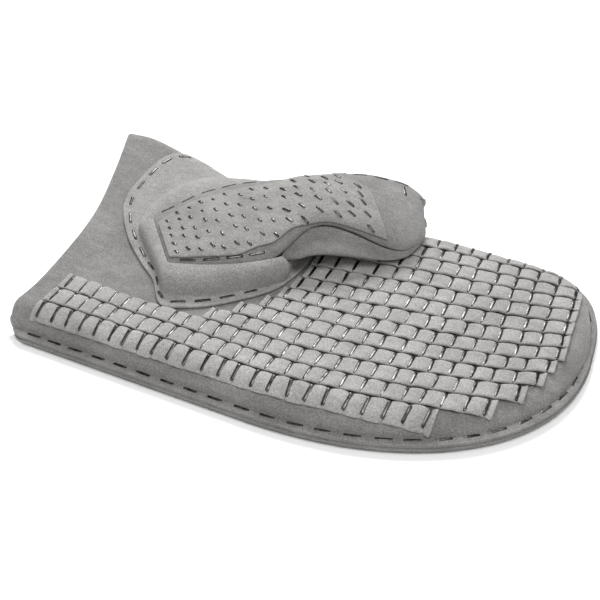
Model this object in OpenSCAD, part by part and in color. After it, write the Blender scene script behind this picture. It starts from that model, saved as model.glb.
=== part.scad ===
// Heat-resistant work mitt for the left hand, lying on its back with the palm up.
// The hand is a palm and a back panel of suede with a welt stapled between them.
// Rows of leather strips are stapled across the palm, and the thumb folds down over them.
// +X points to the fingertips, +Y to the thumb side, +Z up from the back of the hand.

/* [Hand] */
// Length from the little-finger corner of the cuff to the fingertips
hand_l = 295; // [270:5:330]
// Width across the palm
hand_w = 174; // [160:2:200]
// How much further the cuff reaches on the thumb side
cuff_slant = 26; // [18:2:30]
// Depth of the hollow curve of the cuff edge
cuff_bow = 15; // [6:1:18]
// Length of the long rounding on the little-finger side of the tip
near_tip_l = 148; // [120:4:170]
// Length of the short rounding on the thumb side of the tip
far_tip_l = 48; // [40:2:64]
// Distance of the tip's furthest point from the long centre line
tip_y = 23; // [10:1:30]
// Radius of the cuff's little-finger corner
cuff_corner_r = 16; // [8:1:20]
// Height of the palm's flat part above the base
palm_h = 16; // [15:0.5:20]
// Extra height of the palm on the thumb side
far_rise = 5.5; // [3:0.5:8]
// How much lower the palm lies at the fingertips
tip_drop = 5; // [0:0.5:6]
// How far the cuff's thumb-side corner curls up
corner_lift = 27; // [20:1:32]
// Length over which that corner curls
lift_l = 95; // [80:5:120]
// How far the palm side of the cuff gapes
mouth_gape = 11; // [6:1:14]

/* [Leather] */
// Thickness of the suede panels
suede_t = 1.8; // [1.4:0.1:2.2]
// Thickness of the felt linings
lining_t = 1.6; // [1.2:0.1:2]
// Thickness of the welt in the edge seam
welt_t = 1.5; // [1:0.1:2]
// Thickness of the palm strips and of the thumb patch
strip_t = 1.5; // [1.2:0.1:1.8]
// Width of the stapled border round the hand
flange_w = 6; // [5:0.5:8]
// Free gap between layers that lie on each other
layer_gap = 0.3; // [0.25:0.05:0.4]

/* [Strips] */
// Gap between two neighbouring strips
strip_gap = 2.2; // [2:0.1:2.8]
// Distance between the staples along a strip
bay = 9.9; // [9.5:0.1:13]
// Height of the pillow between two staples
pillow = 1.1; // [0.6:0.1:1.4]
// Distance of the first strip from the hand's edge
near_margin = 8.5; // [8:0.5:13]
// Distance of the last strip from the hand's edge
far_margin = 18; // [17:0.5:22]
// Distance of the strip ends from the hand's edge
end_margin = 5; // [5:0.5:10]
// Distance of the long strips from the cuff
cuff_margin = 14; // [12:1:30]

/* [Thumb] */
// Length of the free part of the thumb
thumb_l = 86; // [76:1:88]
// Width of the thumb at its root
thumb_w = 65; // [58:1:66]
// Thickness of the thumb in its middle
thumb_t = 19; // [16:0.5:20]
// Turn of the thumb away from the long axis
thumb_turn = 30.5; // [26:0.5:34]
// Distance of the thumb's root from the hand's rounded end
thumb_from_tip = 184.5; // [180:1:196]
// Distance of the thumb's root from the hand's thumb-side edge
thumb_from_far = 56; // [52:1:60]
// Height of the thumb's root seam on the little-finger side
root_near_z = 31; // [30:0.5:34]
// Height of the thumb's root seam on the outer side
root_far_z = 41; // [40:0.5:44]

/* [Staples] */
// Thickness of the staple wire ribbon
wire_t = 0.6; // [0.5:0.1:0.7]
// Width of the staple wire ribbon
wire_w = 1.6; // [1.2:0.1:1.8]
// Length of the staples in the seams
seam_staple_l = 9; // [7:0.5:10]
// Distance between the staples in the seams
seam_pitch = 14; // [12:0.5:16]
// Length of the small staples on the thumb patch
patch_staple_l = 5; // [4:0.5:6]

/* [Hidden] */
ROWS = 13;
ROW_NAMES = [for (r = [1:ROWS]) str("palm_strip_", r < 10 ? "0" : "", r)];
STAPLE_NAMES = [for (r = [1:ROWS]) str("strip_staples_", r < 10 ? "0" : "", r)];

suede = [0.62, 0.61, 0.59];
suede_light = [0.72, 0.71, 0.69];
felt = [0.80, 0.77, 0.70];
steel = [0.75, 0.76, 0.78];

x_tip = (hand_l + cuff_slant) / 2;
x_cuff = x_tip - hand_l;
half_w = hand_w / 2;
seam_z = suede_t + welt_t;
seam_top = seam_z + suede_t;
row_pitch = (hand_w - near_margin - far_margin) / ROWS;
strip_w = row_pitch - strip_gap;
row_ref_x = x_tip - 111.5;
cells_x = 26;
cells_y = 18;
strip_clear = 0.5;
strip_tab = 4;
valley = wire_w / 2 + 0.3;

function smooth(t) = let (c = min(1, max(0, t))) c * c * (3 - 2 * c);
function mix(a, b, t) = a + (b - a) * t;
function flat(lists) = [for (l = lists) for (p = l) p];
function unit(v) = v / norm(v);

// ---- outline of the hand: two superellipse quarters meet at the fingertips
function near_t(x) = min(1, max(0, (x - x_tip + near_tip_l) / near_tip_l));
function far_t(x) = min(1, max(0, (x - x_tip + far_tip_l) / far_tip_l));
function near_y(x) = tip_y - (tip_y + half_w) * pow(1 - pow(near_t(x), 2.2), 1 / 2.2);
function far_y(x) = tip_y + (half_w - tip_y) * pow(1 - pow(far_t(x), 3), 1 / 3);
function near_cos(x) = cos(atan((near_y(x + 0.4) - near_y(x - 0.4)) / 0.8));
function far_cos(x) = cos(atan((far_y(x + 0.4) - far_y(x - 0.4)) / 0.8));
function near_d(x, y) = (y - near_y(x)) * near_cos(x);
function far_d(x, y) = (far_y(x) - y) * far_cos(x);
function corner(v) = let (d = min(cuff_corner_r, v * hand_w))
    cuff_corner_r - sqrt(pow(cuff_corner_r, 2) - pow(cuff_corner_r - d, 2));
function cuff_x(v) = x_cuff - cuff_slant * v + corner(v) + cuff_bow * sin(180 * pow(v, 0.85));

// ---- heights of the layers
function lift(x, y) = corner_lift * smooth((x_cuff + 84 - x) / lift_l)
    * smooth((y + 20) / (half_w + 20));
function gape(x, y) = mouth_gape * smooth((x_cuff + 68 - x) / 70)
    * pow(sin(180 * min(1, max(0, (y + half_w - 8) / (hand_w - 30)))), 2);
function crown(x, y) = palm_h + far_rise * smooth((y + 5) / 60)
    - tip_drop * smooth((x - row_ref_x) / 100) + gape(x, y);
function roll(d, r) = d <= 0 ? 0 : d >= r ? 1 : sqrt(1 - pow(1 - d / r, 2));
near_roll = 13;
far_roll = 16;
function bulge(x, y, inset) = roll(near_d(x, y) - inset, near_roll) * roll(far_d(x, y) - inset, far_roll);
function palm_top(x, y) = lift(x, y) + seam_top + (crown(x, y) - seam_top) * bulge(x, y, flange_w);
function palm_under(x, y) = lift(x, y) + seam_z
    + (crown(x, y) - suede_t - seam_z) * bulge(x, y, flange_w + suede_t * 0.8);

// ---- a sheet of material between two grids of points, with a rectangle of cells left out
function solid_cell(i, j, n, m, hole) = i >= 0 && j >= 0 && i < n - 1 && j < m - 1
    && !(len(hole) == 4 && i >= hole[0] && i < hole[1] && j >= hole[2] && j < hole[3]);
module sheet(top, bottom, hole = []) {
    n = len(top);
    m = len(top[0]);
    k = n * m;
    cells = [for (i = [0:n - 2]) for (j = [0:m - 2]) if (solid_cell(i, j, n, m, hole)) [i, j]];
    faces = [for (c = cells)
        let (i = c[0], j = c[1], a = i * m + j, b = a + m)
        each concat(
            [[a, a + 1, b + 1], [a, b + 1, b], [k + a, k + b + 1, k + a + 1], [k + a, k + b, k + b + 1]],
            solid_cell(i - 1, j, n, m, hole) ? [] : [[a, k + a, k + a + 1], [a, k + a + 1, a + 1]],
            solid_cell(i + 1, j, n, m, hole) ? [] : [[b, b + 1, k + b + 1], [b, k + b + 1, k + b]],
            solid_cell(i, j - 1, n, m, hole) ? [] : [[a, b, k + b], [a, k + b, k + a]],
            solid_cell(i, j + 1, n, m, hole) ? [] : [[a + 1, k + a + 1, k + b + 1], [a + 1, k + b + 1, b + 1]])];
    used = [for (i = [0:n - 1]) for (j = [0:m - 1]) top[i][j]];
    polyhedron(points = concat(used, flat(bottom)), faces = faces, convexity = 6);
}

// Grid point on the hand: s runs from the cuff to the tip, v from the near to the far edge
function hand_xy(s, v, inset = 0, cuff_inset = 0) =
    let (vv = v, x0 = cuff_x(vv) + cuff_inset, x = mix(x0, x_tip - 0.3 - inset, s),
        lo = near_y(x) + inset / near_cos(x), hi = far_y(x) - inset / far_cos(x))
    [x, mix(lo, max(hi, lo + 4), vv)];
// part thins the grid: 1 for the suede panels, 2 for the plain linings
function hand_grid(inset, cuff_inset, part = 1) = [for (i = [0:part:cells_x]) [for (j = [0:part:cells_y])
    hand_xy(sin(90 * i / cells_x), (1 - cos(180 * j / cells_y)) / 2, inset, cuff_inset)]];
function with_z(grid, f) = [for (row = grid) [for (p = row) [p[0], p[1], f(p[0], p[1])]]];

// Cells of the palm that are cut away under the thumb
thumb_hole = [3, 6, 8, 12];
lining_hole = [2, 3, 4, 6];

module back_panel() {
    g = hand_grid(0, 0);
    color(suede)
        sheet(with_z(g, function (x, y) lift(x, y) + suede_t), with_z(g, function (x, y) lift(x, y)));
}

module palm_panel() {
    g = hand_grid(0, 0);
    color(suede)
        sheet(with_z(g, function (x, y) palm_top(x, y)), with_z(g, function (x, y) palm_under(x, y)), thumb_hole);
}

// Room under the back lining, which lies loose in the curled cuff
back_gap = 1;
lining_inset = flange_w + 5.5;
cuff_inset = 6;
module back_lining() {
    g = hand_grid(lining_inset, cuff_inset);
    base = suede_t + back_gap;
    color(felt)
        sheet(with_z(g, function (x, y) lift(x, y) + base + lining_t), with_z(g, function (x, y) lift(x, y) + base));
}

// The palm lining hangs below the clinched ends of the strip staples
clinch_room = wire_t + 2 * layer_gap + 0.5;
function lining_top(x, y) = lift(x, y) + seam_z + (crown(x, y) - suede_t - clinch_room - seam_z)
    * bulge(x, y, flange_w + suede_t + clinch_room + 1.5);
function back_top(x, y) = lift(x, y) + suede_t + back_gap + lining_t + 1;
module palm_lining() {
    g = hand_grid(lining_inset, cuff_inset, 2);
    color(felt)
        sheet(with_z(g, function (x, y) max(lining_top(x, y), back_top(x, y) + lining_t)),
            with_z(g, function (x, y) max(lining_top(x, y) - lining_t, back_top(x, y))), lining_hole);
}

// ---- the edge seam: stations along the outline from one cuff corner round to the other
function edge_point(u) = u < 0.5
    ? let (x = mix(cuff_x(0) + 1, x_tip - 0.4, sin(180 * u))) [x, near_y(x)]
    : let (x = mix(cuff_x(1) + 1, x_tip - 0.4, sin(180 * u))) [x, far_y(x)];
function edge_dir(u) = unit(edge_point(min(1, u + 0.004)) - edge_point(max(0, u - 0.004)));
function edge_in(u, d) = let (e = edge_dir(u)) edge_point(u) + d * [-e[1], e[0]];

module seam_welt() {
    steps = 64;
    ring = [for (i = [0:steps]) [for (d = [0.3, flange_w]) edge_in(i / steps, d)]];
    top = with_z(ring, function (x, y) lift(x, y) + seam_z - 0.02);
    color(suede_light)
        sheet([for (r = top) [r[1], r[0]]],
            [for (r = with_z(ring, function (x, y) lift(x, y) + suede_t + 0.02)) [r[1], r[0]]]);
}

// ---- a flat wire staple: crown along X on z = 0, legs bent inwards below
module staple(l, leg) {
    foot = min(l / 2 - wire_t, 2.2);
    rotate([90, 0, 0])
        linear_extrude(height = wire_w, center = true)
            polygon([[-l / 2, wire_t], [l / 2, wire_t], [l / 2, -leg], [l / 2 - foot, -leg],
                [l / 2 - foot, wire_t - leg], [l / 2 - wire_t, wire_t - leg], [l / 2 - wire_t, 0],
                [wire_t - l / 2, 0], [wire_t - l / 2, wire_t - leg], [foot - l / 2, wire_t - leg],
                [foot - l / 2, -leg], [-l / 2, -leg]]);
}
// Places children midway from a to b, their X axis towards b, rolled about it
module aim(a, b, tilt = 0) {
    d = b - a;
    translate((a + b) / 2)
        rotate([0, -asin(d[2] / norm(d)), atan2(d[1], d[0])])
            rotate([tilt, 0, 0])
                children();
}

// Running length along a row of points, and the point at a given length
function run(p) = [for (i = 0, s = 0; i < len(p); i = i + 1,
    s = s + (i < len(p) ? norm(p[i] - p[i - 1]) : 0)) s];
function at_run(p, r, s) = let (i = max([for (k = [0:len(p) - 2]) if (r[k] <= s) k]))
    mix(p[i], p[i + 1], (s - r[i]) / max(0.001, r[i + 1] - r[i]));
function raised(p, z) = [p[0], p[1], z];
// Seam staples every seam_pitch along the points p, seated on the height function f
module staple_line(p, f, leg, ends = 6) {
    r = run(p);
    total = r[len(r) - 1];
    count = floor((total - 2 * ends - seam_staple_l) / seam_pitch) + 1;
    first = (total - (count - 1) * seam_pitch) / 2;
    for (k = [0:count - 1]) {
        a = at_run(p, r, first + k * seam_pitch - seam_staple_l / 2);
        b = at_run(p, r, first + k * seam_pitch + seam_staple_l / 2);
        aim(raised(a, f(a[0], a[1])), raised(b, f(b[0], b[1])))
            translate([0, 0, 0.05])
                staple(seam_staple_l, leg);
    }
}

module seam_staples() {
    steps = 240;
    color(steel)
        staple_line([for (i = [0:steps]) edge_in(i / steps, flange_w * 0.5)],
            function (x, y) lift(x, y) + seam_top, seam_top - 0.4);
}

// ---- thumb frame: the root section runs from the near root point to the far root point
root = [x_tip - thumb_from_tip, half_w - thumb_from_far];
along = [cos(thumb_turn), sin(thumb_turn)];
across = [-sin(thumb_turn), cos(thumb_turn)];
function thumb_near(s) = thumb_w / 2 * pow(1 - pow(max(0, (s - 0.62) / 0.382), 2.6), 1 / 2.6);
function thumb_far(s) = mix(thumb_w / 2, thumb_w / 2 - 3, smooth(s * 1.6))
    * pow(1 - pow(max(0, (s - 0.5) / 0.502), 2.3), 1 / 2.3);
function thumb_thick(s) = thumb_t / 2 * pow(1 - pow(min(s, 1) * 0.985, 5), 1 / 2.2);
// The thumb arches up from its root, pinched in on its near side, and its tip comes down to the palm
tip_near_z = 30;
tip_far_z = 42;
fold_rise = 13;
fold_pinch = 13;
function fold(s) = pow(sin(180 * min(1, pow(s / 0.75, 0.65))), 2);
function near_z(s) = mix(root_near_z, tip_near_z, s) + fold_rise * fold(s);
function far_z(s) = mix(root_far_z, tip_far_z, smooth(s * 1.1 - 0.1)) + 3 * sin(180 * smooth(s));
function mid_z(s) = (near_z(s) + far_z(s)) / 2;
function thumb_mid(s) = root + along * thumb_l * s;
// Depth of the inner panel below the middle: level with the root's underside, then up to the tip
thumb_under_z = (root_near_z + root_far_z) / 2 - thumb_t / 2;
function thumb_depth(s) = (mid_z(s) - thumb_under_z) * pow(1 - pow(min(s, 1) * 0.985, 5), 1 / 2.2);
function section(e) = pow(max(0, 1 - e * e), 0.42);
function thumb_pt(s, a, off) =
    let (e = cos(a), half = e < 0 ? thumb_near(s) : thumb_far(s), h = max(0.6, half - off), m = thumb_mid(s),
        pinch = fold_pinch * fold(s) * (sin(a) >= 0 ? 1 : smooth(1 + 1.6 * sin(a))),
        y = h * e + pinch * (1 - e) / 2 * h / half,
        up = sin(a) >= 0 ? max(0.5, thumb_thick(s) - off) : -max(0.5, thumb_depth(s) - off))
    [m[0] + across[0] * y, m[1] + across[1] * y,
        mid_z(s) + (far_z(s) - near_z(s)) / 2 * e * h / half + up * section(e)];
thumb_steps = 14;
function thumb_s(i) = sin(90 * i / thumb_steps);
function thumb_grid(a0, a1, n, off, s0 = 0, s1 = 1) = [for (i = [0:thumb_steps])
    [for (j = [0:n]) thumb_pt(mix(s0, s1, thumb_s(i)) * (1 - off / thumb_l), mix(a0, a1, j / n), off)]];
hinge_gap = 0.4 / thumb_l;

module thumb_outer_panel() {
    color(suede)
        sheet(thumb_grid(177, 3, 12, 0, hinge_gap), thumb_grid(177, 3, 12, suede_t, hinge_gap));
}
module thumb_inner_panel() {
    color(suede)
        sheet(thumb_grid(357, 183, 12, 0, hinge_gap), thumb_grid(357, 183, 12, suede_t, hinge_gap));
}
thumb_lining_off = suede_t + layer_gap + wire_t + 1;
module thumb_lining() {
    color(felt)
        sheet(thumb_grid(358, 2, 20, thumb_lining_off, hinge_gap),
            thumb_grid(358, 2, 20, thumb_lining_off + lining_t, hinge_gap));
}

// ---- thumb root: a dome between two curved seams, s from 0 at the hinge to 1 at the wrist end
function bezier(a, b, c, t) = (1 - t) * (1 - t) * a + 2 * t * (1 - t) * b + t * t * c;
function at_root(dx, dy, z) = [root[0] + dx, root[1] + dy, z];
near_root = [root[0] - across[0] * thumb_w / 2, root[1] - across[1] * thumb_w / 2, root_near_z];
far_root = [root[0] + across[0] * thumb_w / 2, root[1] + across[1] * thumb_w / 2, root_far_z];
function near_seam(t) = bezier(near_root, at_root(-6, -54, 32), at_root(-38, -59, 30), t);
function far_seam(t) = bezier(far_root, at_root(-58, 10, 38), at_root(-71, -24, 30), t);
function dome(t) = (thumb_t / 2 - suede_t - layer_gap) * sqrt(max(0, 1 - t * t));
function root_pt(t, w, off) = let (n = near_seam(t), f = far_seam(t), ww = mix(off * 0.03, 1 - off * 0.03, w))
    mix(n, f, ww) + [0, 0, layer_gap + max(0, dome(t) * section(1 - 2 * w) - off + suede_t)];
function root_grid(off, w0 = 0, w1 = 1, t0 = 0, t1 = 1) = [for (i = [0:10]) [for (j = [0:12])
    root_pt(mix(t1, t0, i / 10), mix(w0, w1, j / 12), off)]];
module thumb_root_panel() {
    color(suede)
        sheet(root_grid(0), root_grid(suede_t));
}

// ---- gusset: border points of the base patch, paired with the points of its top seam
BORDER = [[20, -29], [16.5, -39], [10, -49], [-2, -61], [-18, -72.5], [-33, -77], [-49, -60], [-64, -50],
    [-81, -37], [-96, -17], [-98, 6], [-94, 32], [-78, 44], [-45, 46], [2, 42], [18, 18], [24, -8], [20, -29]];
function seam_ring(k) = k <= 5 ? near_seam(k / 5)
    : k <= 8 ? mix(near_seam(1), far_seam(1), (k - 5) / 3)
    : k <= 13 ? far_seam(1 - (k - 8) / 5)
    : let (f = (k - 13) / 4, p = mix(far_root, near_root, f), e = 2 * f - 1)
        [p[0] - 1.2 * along[0], p[1] - 1.2 * along[1], p[2] - section(e) * thumb_t / 2];
// Smooth curve through the border points
function border_pt(k) = let (n = len(BORDER) - 1, i = floor(k) % n, t = k - floor(k),
    p0 = BORDER[(i + n - 1) % n], p1 = BORDER[i], p2 = BORDER[(i + 1) % n], p3 = BORDER[(i + 2) % n])
    root + p1 + (p2 - p0) * t / 2 + (2 * p0 - 5 * p1 + 4 * p2 - p3) * t * t / 2
    + (3 * p1 - p0 - 3 * p2 + p3) * t * t * t / 2;
function foot_pt(k) = let (s = seam_ring(k), b = border_pt(k)) mix([s[0], s[1]], b, 0.5);
// Gap under the base patch, which bridges the palm's curves
base_gap = 0.8;
function on_palm(p, dz) = [p[0], p[1], palm_top(p[0], p[1]) + base_gap + dz];
function inward(k) = unit([seam_ring(k)[0], seam_ring(k)[1]] - border_pt(k));
ring_last = 16;
function gusset_out(k) = let (b = border_pt(k), f = foot_pt(k), s = seam_ring(k))
    [on_palm(b, suede_t), on_palm(mix(b, f, 0.5), suede_t), on_palm(f, suede_t), [s[0], s[1], s[2] - 0.2]];
function gusset_in(k) = let (b = border_pt(k), f = foot_pt(k), s = seam_ring(k), i = inward(k))
    [on_palm(b, 0), on_palm(mix(b, f, 0.5), 0), on_palm(f, 0),
        [s[0] + i[0] * suede_t, s[1] + i[1] * suede_t, s[2] - 0.2]];
module thumb_gusset() {
    color(suede)
        sheet([for (k = [0:0.5:ring_last]) gusset_out(k)], [for (k = [0:0.5:ring_last]) gusset_in(k)]);
}
module gusset_staples() {
    color(steel)
        staple_line([for (k = [0.2:0.2:13.6]) border_pt(k) + inward(k) * 4.5],
            function (x, y) palm_top(x, y) + base_gap + suede_t, 2 * suede_t + base_gap + 0.15, 1);
}

// ---- wear patch: a leaf of leather over the thumb, in a root half and a free half
patch_gap = 0.2;
function root_w(t, f) = mix(mix(0.22, 0.08, t), mix(0.76, 0.62, t), f);
function root_patch_pt(t, f, off) = root_pt(t, root_w(t, f), -patch_gap - off);
function thumb_a(s, f) = acos(2 * mix(mix(0.22, 0.14, s), mix(0.76, 0.6, s), f) - 1);
function thumb_patch_pt(s, f, off) = thumb_pt(s, thumb_a(s, f), -patch_gap - off);
patch_end = 0.74;
patch_wrist = 0.9;
function root_patch_grid(off) = [for (i = [0:8]) [for (j = [0:6]) root_patch_pt(patch_wrist * (1 - i / 8), j / 6, off)]];
function thumb_patch_grid(off) = [for (i = [0:7]) [for (j = [0:6])
    thumb_patch_pt(mix(hinge_gap, patch_end, i / 7), j / 6, off)]];
module thumb_root_patch() {
    color(suede_light)
        sheet(root_patch_grid(strip_t), root_patch_grid(0));
}
module thumb_patch() {
    color(suede_light)
        sheet(thumb_patch_grid(strip_t), thumb_patch_grid(0));
}
patch_leg = strip_t + patch_gap + suede_t - 0.3;
module root_patch_staples() {
    color(steel)
        for (i = [0:7]) for (j = [0:4]) {
            t = 0.07 + i * 0.1;
            f = 0.1 + j * 0.2;
            aim(root_patch_pt(t + 0.03, f + 0.07, strip_t), root_patch_pt(t - 0.03, f - 0.07, strip_t))
                translate([0, 0, 0.05])
                    staple(patch_staple_l, patch_leg);
        }
}
module thumb_patch_staples() {
    color(steel)
        for (i = [0:5]) for (j = [0:3]) {
            s = 0.08 + i * 0.118;
            f = 0.13 + j * 0.24 + (i % 2) * 0.03;
            aim(thumb_patch_pt(s - 0.03, f + 0.08, strip_t), thumb_patch_pt(s + 0.03, f - 0.08, strip_t))
                translate([0, 0, 0.05])
                    staple(patch_staple_l, patch_leg);
        }
}
// Long staples end to end along a seam in space, leaning over by tilt
module seam_row(path, tilt) {
    r = run(path);
    count = floor((r[len(r) - 1] - seam_staple_l) / seam_pitch) + 1;
    for (k = [0:count - 1]) {
        c = seam_staple_l / 2 + k * seam_pitch;
        aim(at_run(path, r, c - seam_staple_l / 2), at_run(path, r, c + seam_staple_l / 2), tilt)
            translate([0, 0, 0.1])
                staple(seam_staple_l, suede_t - 0.3);
    }
}
module root_seam_staples() {
    color(steel) {
        seam_row([for (i = [0:40]) root_pt(mix(0.06, 0.92, i / 40), 0.05, 0)], -40);
        seam_row([for (i = [0:40]) root_pt(mix(0.06, 0.92, i / 40), 0.95, 0)], 40);
    }
}
module thumb_seam_staples() {
    color(steel) {
        seam_row([for (i = [0:60]) thumb_pt(mix(0.05, 0.985, sin(1.5 * i)), 24, 0)], -52);
        seam_row([for (i = [0:30]) thumb_pt(0.95, 50 + 3 * i, 0)], -52);
    }
}

// ---- strips across the palm, fanned a little, each arched up between its staples
function row_slope(r) = 0.5 + max(0, r - 4) * 0.83;
// The near rows bend round with the little-finger side
function row_bend(r, x) = 0.001 * (1 - max(0, r - 4) / 9) * pow(max(0, x - row_ref_x + 40), 2);
function row_y(r, x, side) = near_margin - half_w + (r - 1) * row_pitch + tan(row_slope(r)) * (x - row_ref_x)
    + row_bend(r, x) + strip_w * (side + 1) / 2;
outline_steps = 64;
BASE = [for (k = [0:outline_steps]) border_pt(k * (len(BORDER) - 1) / outline_steps)];
// Where the base patch's border crosses strip row r, along its side line
function base_hits(r, side) = [for (k = [0:outline_steps - 1])
    let (a = BASE[k], b = BASE[k + 1], da = a[1] - row_y(r, a[0], side), db = b[1] - row_y(r, b[0], side))
    if (da * db <= 0) max(a[0], b[0])];
function all_hits(r) = concat(base_hits(r, -1), base_hits(r, 0), base_hits(r, 1));
function row_start(r) = let (h = all_hits(r), y = row_y(r, x_cuff, 0))
    len(h) > 0 ? max(h) + 3 : cuff_x(min(1, max(0, (y + half_w) / hand_w))) + cuff_margin;
function row_room(r, x) = min([for (side = [-1, 1])
    min(near_d(x, row_y(r, x, side)) - min(9.5, 2 * (r - 1)), far_d(x, row_y(r, x, side)))]);
function row_end(r) = max([for (x = [0:0.5:x_tip - 12.5]) if (row_room(r, x) >= end_margin) x]);
function row_bays(r) = round((row_end(r) - row_start(r) - 2 * strip_tab) / (bay + (r - 7) * 0.11));
function row_bay(r) = (row_end(r) - row_start(r) - 2 * strip_tab) / row_bays(r);
function row_staple_x(r, k) = row_start(r) + strip_tab + k * row_bay(r);
// Height of the underside of row r at one of its two edges, clear of the palm between them
function row_z(r, x, side) = let (lo = palm_top(x, row_y(r, x, -1)), hi = palm_top(x, row_y(r, x, 1)),
    middle = max([for (f = [-0.5, 0, 0.5]) palm_top(x, row_y(r, x, f)) - mix(lo, hi, (f + 1) / 2)]))
    (side < 0 ? lo : hi) + strip_clear + max(0, middle);
function row_profile(r) = concat([[row_start(r), 0]],
    [for (k = [0:row_bays(r)]) let (x = row_staple_x(r, k), b = row_bay(r))
        each concat([[x - valley, 0], [x + valley, 0]],
            k < row_bays(r) ? [[x + b * 0.32, pillow], [x + b * 0.68, pillow]] : [])],
    [[row_end(r), 0]]);
function row_grid(r, up) = [for (p = row_profile(r)) [for (side = [-1, 1])
    [p[0], row_y(r, p[0], side), row_z(r, p[0], side) + p[1] + up]]];
module palm_strip(r) {
    color(suede_light)
        sheet(row_grid(r, strip_t), row_grid(r, 0));
}
module strip_staples(r) {
    color(steel)
        for (k = [0:row_bays(r)]) {
            x = row_staple_x(r, k);
            aim([x, row_y(r, x, -1), row_z(r, x, -1) + strip_t], [x, row_y(r, x, 1), row_z(r, x, 1) + strip_t])
                translate([0, 0, 0.05])
                    staple(strip_w - 1, strip_t + strip_clear + suede_t + 0.3);
        }
}

back_panel();
palm_panel();
seam_welt();
back_lining();
palm_lining();
seam_staples();
for (r = [1:ROWS]) palm_strip(r);
for (r = [1:ROWS]) strip_staples(r);
thumb_gusset();
gusset_staples();
thumb_root_panel();
thumb_root_patch();
root_patch_staples();
root_seam_staples();
thumb_outer_panel();
thumb_inner_panel();
thumb_patch();
thumb_patch_staples();
thumb_seam_staples();
thumb_lining();
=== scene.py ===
"""Looks of the stapled suede mitt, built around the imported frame.

Shapes are worked out in millimetres, with curves like the CAD model's, and turned into metres when a mesh
is made. Strip rows 1 to 6 run farther round the fingertips than in the CAD model, and the thumb's
underside is fuller.
"""
import math
import bmesh
import bpy
import numpy as np
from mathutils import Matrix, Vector


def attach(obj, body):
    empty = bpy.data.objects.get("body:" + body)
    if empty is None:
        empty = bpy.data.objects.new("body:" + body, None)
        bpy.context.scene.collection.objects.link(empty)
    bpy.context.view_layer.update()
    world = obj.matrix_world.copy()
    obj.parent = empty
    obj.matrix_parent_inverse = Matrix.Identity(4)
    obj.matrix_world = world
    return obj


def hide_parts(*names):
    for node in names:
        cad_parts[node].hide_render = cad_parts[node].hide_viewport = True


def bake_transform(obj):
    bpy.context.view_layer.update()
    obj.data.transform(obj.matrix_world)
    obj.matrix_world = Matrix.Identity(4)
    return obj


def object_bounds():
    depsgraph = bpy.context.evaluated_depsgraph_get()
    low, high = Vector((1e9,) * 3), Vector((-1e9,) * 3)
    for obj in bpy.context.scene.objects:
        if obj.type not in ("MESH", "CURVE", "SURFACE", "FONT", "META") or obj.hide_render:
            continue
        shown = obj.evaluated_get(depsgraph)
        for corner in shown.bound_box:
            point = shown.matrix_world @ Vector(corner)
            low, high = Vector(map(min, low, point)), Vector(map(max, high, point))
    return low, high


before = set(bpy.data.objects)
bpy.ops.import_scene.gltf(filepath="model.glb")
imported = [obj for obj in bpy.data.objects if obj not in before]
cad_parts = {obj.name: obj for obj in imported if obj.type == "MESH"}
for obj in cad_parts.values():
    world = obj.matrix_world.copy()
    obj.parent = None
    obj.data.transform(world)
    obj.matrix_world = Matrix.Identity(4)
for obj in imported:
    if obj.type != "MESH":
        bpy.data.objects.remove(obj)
cad_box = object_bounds()
MM = 0.001
rng = np.random.default_rng(7)

# ---------------------------------------------------------------- sizes, in millimetres
X_TIP = cad_box[1].x / MM
HALF_W = cad_box[1].y / MM
HAND_W = 2 * HALF_W
HAND_L = 295.0
CUFF_SLANT = 2 * X_TIP - HAND_L
X_CUFF = X_TIP - HAND_L
NEAR_TIP_L, FAR_TIP_L, TIP_Y = 148.0, 48.0, 23.0
CORNER_R = 16.0
SUEDE, STRIP, WELT, FELT = 1.8, 1.5, 1.5, 1.6
FLANGE = 6.0
SEAM_Z = SUEDE + WELT
SEAM_TOP = SEAM_Z + SUEDE
PALM_H, FAR_RISE, TIP_DROP = 16.0, 5.5, 5.0
CORNER_LIFT, LIFT_L, MOUTH_GAPE = 27.0, 95.0, 11.0
CUFF_BOW = 15.0
NEAR_ROLL, FAR_ROLL = 13.0, 16.0
ROWS = 13
NEAR_MARGIN, FAR_MARGIN, END_MARGIN, CUFF_MARGIN = 8.5, 18.0, 4.0, 14.0
ROW_PITCH = (HAND_W - NEAR_MARGIN - FAR_MARGIN) / ROWS
ROW_REF_X = X_TIP - 111.5
BAY, BAY_STEP = 9.9, 0.11
TAB = 3.4
ROW_BEND = 0.0016
STRIP_GAP = 2.2
HOLE_SHIFT = (-36.0, -20.0)
HOLE_R = 27.0
BASE_GAP = 0.35
EDGE_PITCH, EDGE_STAPLE, EDGE_LEG = 14.0, 8.6, 3.6
BORDER_PITCH, BORDER_STAPLE, BORDER_LEG = 13.5, 8.0, 2.2
THUMB_PITCH, THUMB_SPAN, THUMB_STAPLE, THUMB_LEG = 13.0, 8.4, 8.6, 1.4
THUMB_L, THUMB_W, THUMB_T = 86.0, 65.0, 19.0
THUMB_TURN = math.radians(30.5)
ROOT = np.array([X_TIP - 184.5, HALF_W - 56.0])
ROOT_NEAR_Z, ROOT_FAR_Z = 31.0, 41.0
TIP_NEAR_Z, TIP_FAR_Z = 30.0, 42.0
FOLD_RISE, FOLD_PINCH = 13.0, 13.0
ALONG = np.array([math.cos(THUMB_TURN), math.sin(THUMB_TURN)])
ACROSS = np.array([-math.sin(THUMB_TURN), math.cos(THUMB_TURN)])


def smooth(t):
    c = np.clip(t, 0, 1)
    return c * c * (3 - 2 * c)


def mix(a, b, t):
    return a + (b - a) * t


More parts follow.
